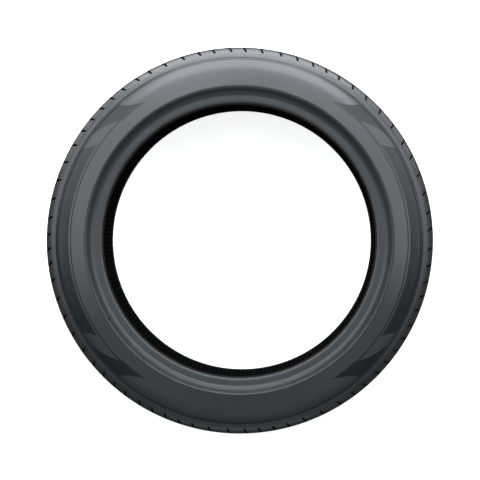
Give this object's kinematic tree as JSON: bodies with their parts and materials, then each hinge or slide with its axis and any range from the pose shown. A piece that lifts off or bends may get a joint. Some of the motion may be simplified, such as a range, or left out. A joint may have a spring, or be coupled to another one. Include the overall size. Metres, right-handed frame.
{
  "type": "car tyre",
  "caption": "Unmounted radial car tyre with a grooved and slotted tread, rounded shoulders, plain banded sidewalls, a rim-shielding lip, shaped beads and an open air chamber.",
  "frame": {"origin": "centre of the tyre, on its axis and in its middle plane", "axes": "+Z along the tyre's axis, out of the sidewall that the picture shows, with the tyre lying on its other sidewall; +Y towards the top of the picture"},
  "size_m": [0.7374, 0.7373, 0.2578],
  "materials": {
    "tyre": "satin black moulded rubber"
  },
  "bodies": {
    "root": {"tyre": "tyre"}
  },
  "joints": []
}
